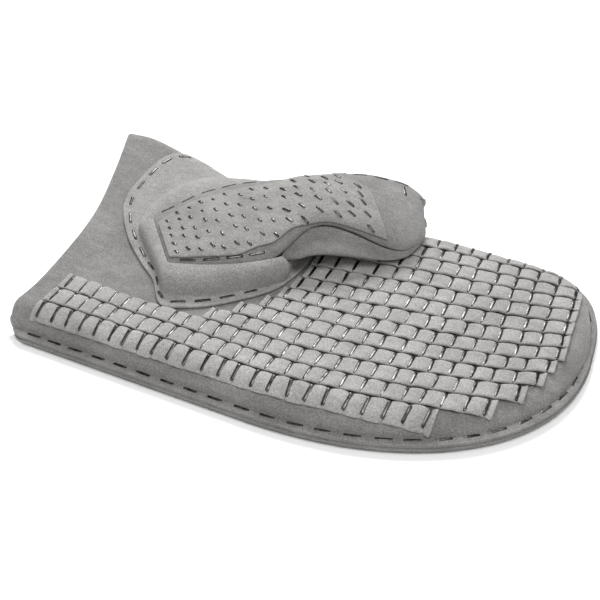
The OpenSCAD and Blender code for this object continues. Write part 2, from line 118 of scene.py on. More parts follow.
def spline(table, t):
    """Smooth curve through (t, value) pairs: piecewise cubic with flat-limited slopes."""
    xs, ys = np.array([p[0] for p in table], float), np.array([p[1] for p in table], float)
    d = np.diff(ys) / np.diff(xs)
    m = np.concatenate([[d[0]], np.where(d[:-1] * d[1:] > 0, (d[:-1] + d[1:]) / 2, 0), [d[-1]]])
    i = np.clip(np.searchsorted(xs, t, side="right") - 1, 0, len(xs) - 2)
    h = xs[i + 1] - xs[i]
    f = np.clip((t - xs[i]) / h, 0, 1)
    return (ys[i] * (2 * f**3 - 3 * f**2 + 1) + h * m[i] * (f**3 - 2 * f**2 + f)
            + ys[i + 1] * (3 * f**2 - 2 * f**3) + h * m[i + 1] * (f**3 - f**2))


def ripple(x, y, wave, seed, count=7):
    """Slow uneven swell of leather: a few crossing waves near one wavelength, about -1 to 1."""
    r = np.random.default_rng(seed)
    out = 0
    for _ in range(count):
        turn, size, phase = r.uniform(0, math.pi), wave * r.uniform(0.7, 1.5), r.uniform(0, 6.28)
        out = out + np.sin((x * math.cos(turn) + y * math.sin(turn)) * 6.28 / size + phase)
    return out / count * 1.6


# ---------------------------------------------------------------- outline and heights of the hand
def near_y(x):
    t = np.clip((x - X_TIP + NEAR_TIP_L) / NEAR_TIP_L, 0, 1)
    return TIP_Y - (TIP_Y + HALF_W) * (1 - t**2.2) ** (1 / 2.2)


def far_y(x):
    t = np.clip((x - X_TIP + FAR_TIP_L) / FAR_TIP_L, 0, 1)
    return TIP_Y + (HALF_W - TIP_Y) * (1 - t**3) ** (1 / 3)


def near_cos(x):
    return np.cos(np.arctan((near_y(x + 0.4) - near_y(x - 0.4)) / 0.8))


def far_cos(x):
    return np.cos(np.arctan((far_y(x + 0.4) - far_y(x - 0.4)) / 0.8))


def near_d(x, y):
    return (y - near_y(x)) * near_cos(x)


def far_d(x, y):
    return (far_y(x) - y) * far_cos(x)


def cuff_x(v):
    d = np.minimum(CORNER_R, v * HAND_W)
    corner = CORNER_R - np.sqrt(CORNER_R**2 - (CORNER_R - d) ** 2)
    return X_CUFF - CUFF_SLANT * v + corner + CUFF_BOW * np.sin(math.pi * v**0.85)


def lift(x, y):
    return CORNER_LIFT * smooth((X_CUFF + 84 - x) / LIFT_L) * smooth((y + 20) / (HALF_W + 20))


def gape(x, y):
    across = np.clip((y + HALF_W - 8) / (HAND_W - 30), 0, 1)
    return MOUTH_GAPE * smooth((X_CUFF + 68 - x) / 70) * np.sin(math.pi * across) ** 2


def crown(x, y):
    return PALM_H + FAR_RISE * smooth((y + 5) / 60) - TIP_DROP * smooth((x - ROW_REF_X) / 100) + gape(x, y)


def roll(d, r):
    return np.sqrt(np.clip(1 - (1 - np.clip(d / r, 0, 1)) ** 2, 0, 1))


def bulge(x, y, inset):
    return roll(near_d(x, y) - inset, NEAR_ROLL) * roll(far_d(x, y) - inset, FAR_ROLL)


def swell(x, y):
    """Undulation of the palm: calm in the middle, stronger on the curled-down side band."""
    side = smooth((24 - np.minimum(near_d(x, y), far_d(x, y))) / 16)
    return ripple(x, y, 46, 3) * 0.35 + ripple(x, y, 19, 5) * 0.35 * side


def palm_top(x, y):
    b = bulge(x, y, FLANGE - 1.5) ** 1.5
    return lift(x, y) + SEAM_TOP + (crown(x, y) - SEAM_TOP) * b + swell(x, y) * np.minimum(1, b * 1.5)


# ---------------------------------------------------------------- mesh making
def add_object(name, verts, faces, material):
    mesh = bpy.data.meshes.new(name)
    mesh.from_pydata((np.asarray(verts) * MM).tolist(), [], [tuple(int(i) for i in f) for f in faces])
    mesh.validate()
    mesh.polygons.foreach_set("use_smooth", [True] * len(mesh.polygons))
    mesh.materials.append(material)
    mesh.update()
    obj = bpy.data.objects.new(name, mesh)
    bpy.context.scene.collection.objects.link(obj)
    return obj


def cell_faces(index, off, solid):
    """Top and bottom faces of the cells that are kept; a closed grid's last row joins its first."""
    faces = []
    for i, j in np.argwhere(solid):
        k = (i + 1) % len(index)
        a, b, c, d = index[i, j], index[k, j], index[k, j + 1], index[i, j + 1]
        faces.append((a, b, c, d))
        faces.append((off + a, off + d, off + c, off + b))
    return faces


def border_loops(n, m, closed):
    """Open borders of a grid as (row, column) loops: one all round, or the two sides of a closed grid."""
    if closed:
        return [[(i, m - 1) for i in range(n)], [((n - i) % n, 0) for i in range(n)]]
    return [[(i, 0) for i in range(n)] + [(n - 1, j) for j in range(1, m)]
            + [(i, m - 1) for i in range(n - 2, -1, -1)] + [(0, j) for j in range(m - 2, 0, -1)]]


def edge_points(top, bottom, loop, closed, edge):
    """Three loops of points that round the cut edge along one border."""
    n, m = top.shape[:2]
    i, j = loop[:, 0], loop[:, 1]
    row = i if closed else np.clip(i, 1, n - 2)
    column = np.clip(j, 1, m - 2)
    middle = (top[i, j] + bottom[i, j]) / 2
    out = middle - (top[row, column] + bottom[row, column]) / 2
    out /= np.maximum(np.linalg.norm(out, axis=1, keepdims=True), 1e-6)
    half = (top[i, j] - bottom[i, j]) / 2
    r = np.linalg.norm(half, axis=1, keepdims=True) * edge
    turns = [math.radians(turn) for turn in (45, 0, -45)]
    return [middle + out * r * math.cos(turn) + half * math.sin(turn) for turn in turns]


def loop_faces(loops):
    """Faces between neighbouring loops of point numbers."""
    faces = []
    for hi, lo in zip(loops[:-1], loops[1:]):
        for i in range(len(hi)):
            k = (i + 1) % len(hi)
            faces.append((hi[k], hi[i], lo[i], lo[k]))
    return faces


def hole_faces(index, off, solid):
    """Walls from top to bottom round the cells that are left out."""
    rows, columns = solid.shape
    faces = []
    for i, j in np.argwhere(solid):
        sides = ((-1, 0, (i, j), (i, j + 1)), (1, 0, (i + 1, j + 1), (i + 1, j)),
                 (0, -1, (i + 1, j), (i, j)), (0, 1, (i, j + 1), (i + 1, j + 1)))
        for di, dj, p, q in sides:
            a, b = i + di, j + dj
            if 0 <= a < rows and 0 <= b < columns and not solid[a, b]:
                faces.append((index[p], index[q], off + index[q], off + index[p]))
    return faces


def shell(name, top, bottom, material, edge=0.8, hole=None, closed=False):
    """Closed leather sheet between two grids of points, with rounded cut edges.

    hole is a mask of the cells to leave out; closed joins the grid's first row to its last.
    """
    n, m = top.shape[:2]
    off = n * m
    index = np.arange(off).reshape(n, m)
    solid = np.ones((n if closed else n - 1, m - 1), bool) if hole is None else ~hole
    verts = [top.reshape(-1, 3), bottom.reshape(-1, 3)]
    faces = cell_faces(index, off, solid)
    base = 2 * off
    for loop in border_loops(n, m, closed):
        loop = np.array(loop)
        count = len(loop)
        verts += edge_points(top, bottom, loop, closed, edge)
        border_index = index[loop[:, 0], loop[:, 1]]
        rounded = [base + k * count + np.arange(count) for k in range(3)]
        faces += loop_faces([border_index] + rounded + [off + border_index])
        base += 3 * count
    if hole is not None:
        faces += hole_faces(index, off, solid)
    obj = add_object(name, np.concatenate(verts), faces, material)
    fix_normals(obj)
    return obj


def fix_normals(obj):
    """Turns every face outwards and drops points that nothing uses."""
    bm = bmesh.new()
    bm.from_mesh(obj.data)
    bmesh.ops.remove_doubles(bm, verts=bm.verts, dist=1e-7)
    loose = [v for v in bm.verts if not v.link_faces]
    bmesh.ops.delete(bm, geom=loose, context="VERTS")
    bmesh.ops.recalc_face_normals(bm, faces=bm.faces)
    bm.to_mesh(obj.data)
    bm.free()
    obj.data.polygons.foreach_set("use_smooth", [True] * len(obj.data.polygons))
    obj.data.update()


def grid_normals(grid):
    du, dv = np.gradient(grid, axis=0), np.gradient(grid, axis=1)
    n = np.cross(du, dv)
    for _ in range(4):
        n = n / np.maximum(np.linalg.norm(n, axis=2, keepdims=True), 1e-9)
        p = np.pad(n, ((1, 1), (1, 1), (0, 0)), mode="edge")
        n = p[:-2, 1:-1] + p[2:, 1:-1] + p[1:-1, :-2] + p[1:-1, 2:] + n
    return n / np.maximum(np.linalg.norm(n, axis=2, keepdims=True), 1e-9)


# ---------------------------------------------------------------- materials
def node(tree, kind, **values):
    made = tree.nodes.new(kind)
    for key, value in values.items():
        if key in made.inputs:
            made.inputs[key].default_value = value
        else:
            setattr(made, key, value)
    return made


def noise(tree, where, scale, detail=4.0, rough=0.6):
    made = node(tree, "ShaderNodeTexNoise", Scale=scale, Detail=detail, Roughness=rough)
    tree.links.new(where, made.inputs["Vector"])
    return made.outputs["Fac"]


def ramp(tree, value, stops):
    made = node(tree, "ShaderNodeValToRGB")
    ends = made.color_ramp.elements
    for end, (place, colour) in zip((ends[0], ends[1]), (stops[0], stops[-1])):
        end.position = place
        end.color = (*colour, 1)
    for place, colour in stops[1:-1]:
        ends.new(place).color = (*colour, 1)
    tree.links.new(value, made.inputs["Fac"])
    return made.outputs["Color"]


def blend_colour(tree, kind, amount, a, b):
    made = node(tree, "ShaderNodeMix", data_type="RGBA", blend_type=kind)
    made.inputs[0].default_value = amount
    tree.links.new(a, made.inputs[6])
    tree.links.new(b, made.inputs[7])
    return made.outputs[2]


def start_material(name):
    material = bpy.data.materials.new(name)
    material.use_nodes = True
    tree = material.node_tree
    shader = tree.nodes["Principled BSDF"]
    where = node(tree, "ShaderNodeTexCoord").outputs["Object"]
    return material, tree, shader, where


def grey(level, warm=0.02):
    return (level * (1 + warm), level, level * (1 - warm * 1.6))


def suede(name, level, contrast=0.16):
    """Napped split leather: soft mottling, brushed darker and lighter patches, fine fibrous grain, lighter
    rubbed edges and painted shade in the creases.
    """
    material, tree, shader, where = start_material(name)
    dark, light = grey(level * (1 - contrast)), grey(level * (1 + contrast * 0.7))
    patch = ramp(tree, noise(tree, where, 42, 5, 0.62), [(0.3, dark), (0.52, grey(level)), (0.72, light)])
    stretch = node(tree, "ShaderNodeMapping")
    stretch.inputs["Scale"].default_value = (0.35, 1.0, 1.0)
    tree.links.new(where, stretch.inputs["Vector"])
    brushed = ramp(tree, noise(tree, stretch.outputs["Vector"], 230, 4, 0.7),
                   [(0.3, (0.86, 0.86, 0.86)), (0.7, (1.1, 1.1, 1.1))])
    grain = ramp(tree, noise(tree, where, 1500, 3, 0.75), [(0.3, (0.5, 0.5, 0.5)), (0.7, (1.4, 1.4, 1.4))])
    colour = blend_colour(tree, "MULTIPLY", 1.0, patch, brushed)
    colour = blend_colour(tree, "MULTIPLY", 1.0, colour, grain)
    # Pointiness: convex edges are lighter as rubbed wear, and concave creases are darker as painted shade.
    wear_and_crease_shade = node(tree, "ShaderNodeNewGeometry").outputs["Pointiness"]
    edge = ramp(tree, wear_and_crease_shade, [(0.44, (0.74, 0.74, 0.74)), (0.5, (1, 1, 1)), (0.58, (1.14, 1.14, 1.14))])
    colour = blend_colour(tree, "MULTIPLY", 0.8, colour, edge)
    tree.links.new(colour, shader.inputs["Base Color"])
    shader.inputs["Roughness"].default_value = 0.93
    shader.inputs["Specular IOR Level"].default_value = 0.18
    shader.inputs["Sheen Weight"].default_value = 0.22
    shader.inputs["Sheen Roughness"].default_value = 0.55
    height = node(tree, "ShaderNodeMath", operation="MULTIPLY_ADD")
    tree.links.new(noise(tree, where, 1100, 5, 0.75), height.inputs[0])
    height.inputs[1].default_value = 0.5
    tree.links.new(noise(tree, where, 320, 4, 0.6), height.inputs[2])
    bump = node(tree, "ShaderNodeBump", Strength=0.8, Distance=0.0009)
    tree.links.new(height.outputs[0], bump.inputs["Height"])
    tree.links.new(bump.outputs["Normal"], shader.inputs["Normal"])
    return material


def felt():
    """Pressed wool lining: cream, with short crossing fibres."""
    material, tree, shader, where = start_material("felt_lining")
    fibres = node(tree, "ShaderNodeTexWave", Scale=420.0, Distortion=14.0, Detail=4.0)
    fibres.inputs["Detail Scale"].default_value = 3.0
    tree.links.new(where, fibres.inputs["Vector"])
    base = ramp(tree, fibres.outputs["Fac"], [(0.1, grey(0.5, 0.05)), (0.9, grey(0.68, 0.05))])
    cloud = ramp(tree, noise(tree, where, 90, 5), [(0.3, (0.85, 0.84, 0.82)), (0.7, (1.05, 1.05, 1.04))])
    tree.links.new(blend_colour(tree, "MULTIPLY", 1.0, base, cloud), shader.inputs["Base Color"])
    shader.inputs["Roughness"].default_value = 0.97
    shader.inputs["Sheen Weight"].default_value = 0.3
    bump = node(tree, "ShaderNodeBump", Strength=0.8, Distance=0.0008)
    tree.links.new(fibres.outputs["Fac"], bump.inputs["Height"])
    tree.links.new(bump.outputs["Normal"], shader.inputs["Normal"])
    return material


def steel():
    """Flat staple wire: drawn steel with fine length scratches and dull patches, coloured near black as
    painted shade and painted dark reflection.
    """
    material, tree, shader, where = start_material("staple_steel")
    dull = noise(tree, where, 260, 4)
    # Near-black base colour: painted shade of the valleys the staples sit in and painted dark reflection,
    # not the steel's own tone.
    tree.links.new(ramp(tree, dull, [(0.35, grey(0.025)), (0.65, grey(0.14))]), shader.inputs["Base Color"])
    shader.inputs["Metallic"].default_value = 1.0
    rough = node(tree, "ShaderNodeMapRange")
    rough.inputs["To Min"].default_value = 0.22
    rough.inputs["To Max"].default_value = 0.42
    tree.links.new(noise(tree, where, 700, 3), rough.inputs["Value"])
    tree.links.new(rough.outputs["Result"], shader.inputs["Roughness"])
    bump = node(tree, "ShaderNodeBump", Strength=0.25, Distance=0.0002)
    tree.links.new(noise(tree, where, 1900, 3), bump.inputs["Height"])
    tree.links.new(bump.outputs["Normal"], shader.inputs["Normal"])
    return material


BODY = suede("body_suede", 0.22, contrast=0.2)
LIGHT = suede("strip_suede", 0.345, contrast=0.18)
PATCH = suede("patch_suede", 0.275, contrast=0.18)
# The gusset is body suede; its lighter tone here is painted light on the thumb's wall.
LIT_GUSSET_SUEDE = suede("gusset_suede_painted_light", 0.31, contrast=0.18)
EDGE = suede("welt_suede", 0.2)
LINING = felt()
SHADE_DARK_STEEL = steel()


def finish_piece(obj, slot, *nodes, body="hand"):
    """Hides the CAD nodes that the piece replaces and attaches it to its body; slot is not used; a piece
    across the thumb's fold has body=None and stays unattached.
    """
    if nodes:
        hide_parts(*nodes)
    if body:
        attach(obj, body)
    return obj


# ---------------------------------------------------------------- panels of the hand
def hand_grid(nx, ny, inset=0.0, cuff_inset=0.0):
    s = np.sin(np.linspace(0, math.pi / 2, nx))[:, None]
    v = ((1 - np.cos(np.linspace(0, math.pi, ny))) / 2)[None, :]
    x = mix(cuff_x(v) + cuff_inset, X_TIP - 0.05 - inset, s)
    lo = near_y(x) + inset / near_cos(x)
    hi = np.maximum(far_y(x) - inset / far_cos(x), lo + 2)
    return x, mix(lo, hi, v)


def stack(x, y, z):
    return np.stack([x, y, z], 2)


def thumb_hole(x, y):
    """Cells of a hand grid that are cut away under the thumb: a round hole between the thumb's seams."""
    cx, cy = (x[:-1, :-1] + x[1:, 1:]) / 2, (y[:-1, :-1] + y[1:, 1:]) / 2
    hole_x, hole_y = ROOT + HOLE_SHIFT
    return ((cx - hole_x) / HOLE_R) ** 2 + ((cy - hole_y) / HOLE_R) ** 2 < 1


def make_panels():
    x, y = hand_grid(240, 150)
    top = palm_top(x, y)
    under = lift(x, y) + SEAM_Z + (top - SUEDE - lift(x, y) - SEAM_Z) * smooth(bulge(x, y, FLANGE + 1.2) * 3)
    palm = shell("palm_leather", stack(x, y, top), stack(x, y, np.minimum(under, top - SUEDE)), BODY,
                 hole=thumb_hole(x, y))
    finish_piece(palm, "body_suede", "palm_panel")
    x, y = hand_grid(160, 100)
    ground = lift(x, y)
    back = shell("back_leather", stack(x, y, ground + SUEDE), stack(x, y, ground), BODY)
    finish_piece(back, "body_suede", "back_panel")


def sheet_area(grid, mask=None):
    """Area of a point grid in square metres, without the cells cut away."""
    u, v = grid[1:, :-1] - grid[:-1, :-1], grid[:-1, 1:] - grid[:-1, :-1]
    cells = np.linalg.norm(np.cross(u, v), axis=2)
    return float(cells.sum() if mask is None else cells[~mask].sum()) * MM * MM


def declare_felt(grid, mask=None):
    sheet_area(grid, mask)


def make_linings():
    x, y = hand_grid(120, 80, FLANGE + 3, 5.0)
    low = lift(x, y) + SUEDE + 0.8 + ripple(x, y, 30, 11) * 0.25
    grid = stack(x, y, low + FELT)
    sheet = shell("back_felt", grid, stack(x, y, low), LINING)
    finish_piece(sheet, "felt_lining", "back_lining")
    declare_felt(grid)
    high = lift(x, y) + SEAM_Z + (crown(x, y) - SUEDE - 1.2 - SEAM_Z) * bulge(x, y, FLANGE + 4.3)
    high = np.maximum(high + ripple(x, y, 28, 12) * 0.3, low + 2 * FELT + 0.6)
    hole, grid = thumb_hole(x, y), stack(x, y, high)
    sheet = shell("palm_felt", grid, stack(x, y, high - FELT), LINING, hole=hole)
    finish_piece(sheet, "felt_lining", "palm_lining")
    declare_felt(grid, hole)


def outline(count, inset):
    """Points along the open outline, cuff corner to cuff corner, evenly spaced."""
    u = np.linspace(0, 1, 1200)
    s = np.sin(math.pi * u)
    near = u < 0.5
    cuff = np.where(near, cuff_x(np.array(0.0)), cuff_x(np.array(1.0)))
    x = mix(cuff, X_TIP - 0.05, s)
    y = np.where(near, near_y(x), far_y(x))
    p = np.stack([x, y], 1)
    d = np.gradient(p, axis=0)
    d /= np.maximum(np.linalg.norm(d, axis=1, keepdims=True), 1e-9)
    p = p + inset * np.stack([-d[:, 1], d[:, 0]], 1)
    return even(p, count)


def even(points, count):
    """Points spread evenly along a line of points."""
    run = np.concatenate([[0], np.cumsum(np.linalg.norm(np.diff(points, axis=0), axis=1))])
    at = np.linspace(0, run[-1], count)
    return np.stack([np.interp(at, run, points[:, i]) for i in range(points.shape[1])], 1)


def make_welt():
    outer, inner = outline(700, -0.5), outline(700, FLANGE)
    rows = [mix(outer, inner, f) for f in np.linspace(0, 1, 5)]
    grid = np.stack(rows, 1)
    x, y = grid[..., 0], grid[..., 1]
    z = lift(x, y) + ripple(x, y, 25, 21) * 0.08
    welt = shell("seam_welt_strip", stack(x, y, z + SEAM_Z - 0.05), stack(x, y, z + SUEDE + 0.05), EDGE)
    finish_piece(welt, "welt_suede", "seam_welt")


# ---------------------------------------------------------------- staples
class Wire:
    """Collects flat wire staples into one mesh."""

    def __init__(self):
        self.verts, self.faces = [], []

    def add(self, centre, run, up, length, depth, width=1.5, thick=0.45, bow=0.0):
        run = np.asarray(run, float) / np.linalg.norm(run)
        side = np.cross(up, run)
        side /= np.linalg.norm(side)
        up = np.cross(run, side)
        half, bend = length / 2, 0.7
        path = [(-half, -depth), (-half, -bend)]
        path += [(-half + bend * (1 - math.cos(a)), -bend + bend * math.sin(a)) for a in (0.52, 1.05, 1.57)]
        path += [(half * f, bow * (1 - f * f)) for f in (-0.45, 0, 0.45)]
        path += [(half - bend * (1 - math.cos(a)), -bend + bend * math.sin(a)) for a in (1.57, 1.05, 0.52)]
        path += [(half, -bend), (half, -depth)]
        path = np.array(path)
        d = np.gradient(path, axis=0)
        d /= np.linalg.norm(d, axis=1, keepdims=True)
        n = np.stack([-d[:, 1], d[:, 0]], 1)
        ring = [(-0.5, 0.25), (-0.42, 0.5), (0.42, 0.5), (0.5, 0.25),
                (0.5, -0.25), (0.42, -0.5), (-0.42, -0.5), (-0.5, -0.25)]
        base = len(self.verts)
        for p, q in zip(path, n):
            for a, b in ring:
                c = p + q * (b * thick + thick / 2)
                self.verts.append(centre + run * c[0] + up * c[1] + side * a * width)
        m = len(ring)
        for i in range(len(path) - 1):
            here = base + i * m
            for j in range(m):
                k = (j + 1) % m
                self.faces.append((here + j, here + k, here + m + k, here + m + j))
        self.faces.append(tuple(base + j for j in range(m)))
        last = base + (len(path) - 1) * m
        self.faces.append(tuple(last + m - 1 - j for j in range(m)))

    def build(self, name, *nodes, body="hand"):
        obj = add_object(name, np.array(self.verts), self.faces, SHADE_DARK_STEEL)
        fix_normals(obj)
        return finish_piece(obj, "staple_steel", *nodes, body=body)


def surface_up(height, p, reach=1.5):
    """Upward normal of a height function at a plan point."""
    gx = (height(p[0] + reach, p[1]) - height(p[0] - reach, p[1])) / (2 * reach)
    gy = (height(p[0], p[1] + reach) - height(p[0], p[1] - reach)) / (2 * reach)
    n = np.array([-float(gx), -float(gy), 1.0])
    return n / np.linalg.norm(n)


def staple_path(wire, path, height, pitch, length, depth, jitter=0.5, sink=0.1):
    """Long staples laid end to end along a plan path on a height function."""
    total = np.linalg.norm(np.diff(path, axis=0), axis=1).sum()
    count = int((total - length) // pitch) + 1
    run = np.concatenate([[0], np.cumsum(np.linalg.norm(np.diff(path, axis=0), axis=1))])
    first = (total - (count - 1) * pitch) / 2
    for k in range(count):
        at = first + k * pitch + rng.uniform(-jitter, jitter)
        a, b = [np.array([np.interp(at + f * length / 2, run, path[:, i]) for i in (0, 1)]) for f in (-1, 1)]
        c = (a + b) / 2
        z = (float(height(*a)) + float(height(*b))) / 2
        d = np.array([*(b - a), float(height(*b)) - float(height(*a))])
        turn = rng.normal(0, 0.03)
        d[:2] += turn * np.array([-d[1], d[0]])
        wire.add(np.array([*c, z - sink]), d, surface_up(height, c), length * rng.uniform(0.94, 1.04), depth)


def make_seam_staples():
    wire = Wire()
    path = outline(1500, FLANGE * 0.55)
    staple_path(wire, path, lambda x, y: lift(x, y) + SEAM_TOP, EDGE_PITCH, EDGE_STAPLE, EDGE_LEG, sink=0.3)
    wire.build("edge_staples", "seam_staples")


# ---------------------------------------------------------------- strips across the palm
BORDER = np.array([[20, -29], [16.5, -39], [10, -49], [-2, -61], [-18, -72.5], [-33, -77],
                   [-49, -60], [-64, -50], [-81, -37], [-96, -17], [-98, 6], [-94, 32],
                   [-78, 44], [-45, 46], [2, 42], [18, 18], [24, -8]], float)
RING_NEAR, RING_WRIST, RING_FAR, RING_END = 5, 8, 13, len(BORDER)


def border(k):
    """Smooth closed curve through the base patch's border points, k from 0 to RING_END."""
    n = len(BORDER)
    k = np.asarray(k, float)
    i = np.floor(k).astype(int) % n
    t = (k - np.floor(k))[..., None]
    p0, p1, p2, p3 = (BORDER[(i + o) % n] for o in (-1, 0, 1, 2))
    return ROOT + p1 + (p2 - p0) * t / 2 + (2 * p0 - 5 * p1 + 4 * p2 - p3) * t**2 / 2 \
        + (3 * p1 - p0 - 3 * p2 + p3) * t**3 / 2


def row_slope(r):
    return math.radians(0.5 + max(0, r - 4) * 0.83)


def row_line(r, x):
    """Lower edge line of strip row r; the near rows bend round with the little-finger side."""
    bend = ROW_BEND * (1 - max(0, r - 4) / 9) * np.maximum(0, x - ROW_REF_X + 40) ** 2
    return NEAR_MARGIN - HALF_W + (r - 1) * ROW_PITCH + math.tan(row_slope(r)) * (x - ROW_REF_X) + bend


def row_span(r):
    """Where row r starts and ends along X: past the base patch or the cuff, up to the rounded tip."""
    width = ROW_PITCH - STRIP_GAP
    ring = border(np.linspace(0, RING_END, 65))
    a, b = ring[:-1], ring[1:]
    hits = []
    for side in (0, 0.5, 1):
        da = a[:, 1] - row_line(r, a[:, 0]) - side * width
        db = b[:, 1] - row_line(r, b[:, 0]) - side * width
        hits += list(np.maximum(a[:, 0], b[:, 0])[da * db <= 0])
    y0 = row_line(r, X_CUFF) + width / 2
    start = max(hits) + 3 if hits else float(cuff_x(np.clip((y0 + HALF_W) / HAND_W, 0, 1))) + CUFF_MARGIN
    x = np.arange(0, X_TIP - 12.5, 0.5)
    sides = [row_line(r, x) + s * width for s in (0, 1)]
    near_extra = min(12, 2.8 * (r - 1))
    room = np.minimum.reduce([near_d(x, y) - near_extra for y in sides] + [far_d(x, y) for y in sides])
    return start, x[room >= END_MARGIN].max()


def row_pins(r, start, end):
    """Places along X of a row's cross staples, each of the inner ones a little off its even place."""
    length = end - start - 2 * TAB
    bays = round(length / (BAY + (r - 7) * BAY_STEP))
    pins = start + TAB + np.arange(bays + 1) * length / bays
    pins[1:-1] += rng.uniform(-0.9, 0.9, bays - 1)
    return pins


def row_stations(start, end, pins):
    """Places along X of a strip's cross rows of points: 15 in each bay and 5 in each end tab."""
    turn = np.linspace(0, math.pi, 15)
    bays = [mix(a, b, (1 - np.cos(turn)) / 2) for a, b in zip(pins[:-1], pins[1:])]
    tabs = np.linspace(start, pins[0], 5), np.linspace(pins[-1], end, 5)
    return np.unique(np.concatenate([tabs[0]] + bays + [tabs[1]]))


def make_strip(r, start, end, pins):
    """Strip leather, arched into pillows between its cross staples."""
    bays = len(pins) - 1
    along = row_stations(start, end, pins)
    bay = np.clip(np.searchsorted(pins, along, side="right") - 1, 0, bays - 1)
    f = np.clip((along - pins[bay]) / (pins[bay + 1] - pins[bay]), 0, 1)
    puff = rng.uniform(0.75, 1.2, bays)[bay] * np.sin(math.pi * f) ** 0.75
    tail = np.maximum(smooth((pins[0] - along) / TAB), smooth((along - pins[-1]) / TAB))
    arch = puff + 0.4 * tail
    v = np.linspace(0, 1, 9)[None, :]
    low = row_line(r, along)
    width = row_line(r + 1, along) - low - 0.7
    tuck = (0.9 - 0.85 * np.minimum(puff, 1)) * (1 - tail)
    side = rng.normal(0, 0.12, bays)[bay] * puff
    y = (low + tuck + side)[:, None] + (width - 2 * tuck)[:, None] * v
    x = along[:, None] + rng.uniform(-0.5, 0.5) * (v - 0.5)
    thick = STRIP * (0.7 + 0.3 * np.minimum(1, puff * 1.6 + tail))[:, None]
    crest = arch[:, None] * (1 - 0.12 * (2 * v - 1) ** 2 + 1.1 * (0.5 - v))
    z = palm_top(x, y) + 0.25 + np.maximum(crest, 0) + ripple(x, y, 9, 100 + r) * 0.2
    strip = shell("strip_leather_%02d" % r, stack(x, y, z + thick), stack(x, y, z), LIGHT, edge=0.6)
    finish_piece(strip, "strip_suede", "palm_strip_%02d" % r)


def make_strip_staples(r, pins):
    """A staple across the strip at every pin."""
    wire = Wire()
    for pin in pins:
        low = float(row_line(r, pin))
        width = float(row_line(r + 1, pin)) - low - 0.3
        centre = np.array([pin + rng.normal(0, 0.12), low + width / 2])
        up = surface_up(palm_top, centre, 3.0)
        z = float(palm_top(*centre)) + 0.25 + STRIP * 0.7 + 0.15
        run = np.array([rng.normal(0.0, 0.05), 1.0, 0.0])
        run -= up * (run @ up)
        wire.add(np.array([*centre, z]), run, up, width * 0.8, 2.4, width=1.7, bow=0.12)
    wire.build("strip_wire_%02d" % r, "strip_staples_%02d" % r)


def make_row(r):
    start, end = row_span(r)
    pins = row_pins(r, start, end)
    make_strip(r, start, end, pins)
    make_strip_staples(r, pins)


# ---------------------------------------------------------------- thumb surfaces
def near_half(s):
    return THUMB_W / 2 * np.clip(1 - np.maximum(0, (s - 0.62) / 0.382) ** 2.6, 0, 1) ** (1 / 2.6)


def far_half(s):
    body = mix(THUMB_W / 2, THUMB_W / 2 - 3, smooth(s * 1.6))
    return body * np.clip(1 - np.maximum(0, (s - 0.5) / 0.502) ** 2.3, 0, 1) ** (1 / 2.3)


def taper(s):
    return np.clip(1 - (np.clip(s, 0, 1) * 0.985) ** 5, 0, 1) ** (1 / 2.2)


def fold(s):
    return np.sin(math.pi * np.clip(np.maximum(s, 0) / 0.8, 0, 1) ** 0.62) ** 1.4


def near_z(s):
    return mix(ROOT_NEAR_Z, TIP_NEAR_Z, s) + FOLD_RISE * fold(s)


def far_z(s):
    return mix(ROOT_FAR_Z, TIP_FAR_Z, smooth(s * 1.1 - 0.1)) + 3 * np.sin(math.pi * smooth(s))


UNDER_Z = (ROOT_NEAR_Z + ROOT_FAR_Z) / 2 - THUMB_T / 2 - 1.5


def section(e):
    return np.clip(1 - e * e, 0, 1) ** 0.42


def free_point(s, a, off=0.0):
    """Point on the free thumb, off below its skin.

    s runs along the thumb, and a round it: 0 is far, a quarter turn is up and half a turn is near.
    """
    s, a = np.broadcast_arrays(np.asarray(s, float), np.asarray(a, float))
    e, rise = np.cos(a), np.sin(a)
    half = np.maximum(np.where(e < 0, near_half(s), far_half(s)), 0.4)
    k = 1 - off / np.maximum(half, 4)
    pinch = FOLD_PINCH * fold(s) * np.where(rise >= 0, 1, smooth(1 + 2.2 * rise)) * (1 - e) / 2
    below = np.where(rise < 0, smooth(-3 * rise), 0)
    sag = 5 * smooth(s / 0.12) * smooth((0.95 - s) / 0.3) * below * smooth(-2 * e)
    y = (half * e + pinch - sag) * k
    mid = (near_z(s) + far_z(s)) / 2
    thick = THUMB_T / 2 * taper(s)
    depth = (mid - UNDER_Z) * taper(s)
    up = np.where(rise >= 0, np.maximum(thick - off, 0.3), -np.maximum(depth - off, 0.3))
    x0 = ROOT[0] + ALONG[0] * THUMB_L * s + ACROSS[0] * y
    y0 = ROOT[1] + ALONG[1] * THUMB_L * s + ACROSS[1] * y
    box = np.where(rise >= 0, section(e), np.clip(1 - e * e, 0, 1) ** 0.32)
    return np.stack([x0, y0, mid + (far_z(s) - near_z(s)) / 2 * e + up * box], -1)


def rel(dx, dy, z):
    return np.array([ROOT[0] + dx, ROOT[1] + dy, z])


NEAR_ROOT = np.array([*(ROOT - ACROSS * THUMB_W / 2), ROOT_NEAR_Z])
FAR_ROOT = np.array([*(ROOT + ACROSS * THUMB_W / 2), ROOT_FAR_Z])


def bezier(a, b, c, t):
    t = np.asarray(t, float)[..., None]
    return (1 - t) ** 2 * a + 2 * t * (1 - t) * b + t * t * c


def near_seam(t):
    return bezier(NEAR_ROOT, rel(-6, -54, 32), rel(-38, -59, 30), t)


def far_seam(t):
    return bezier(FAR_ROOT, rel(-58, 10, 38), rel(-71, -24, 30), t)


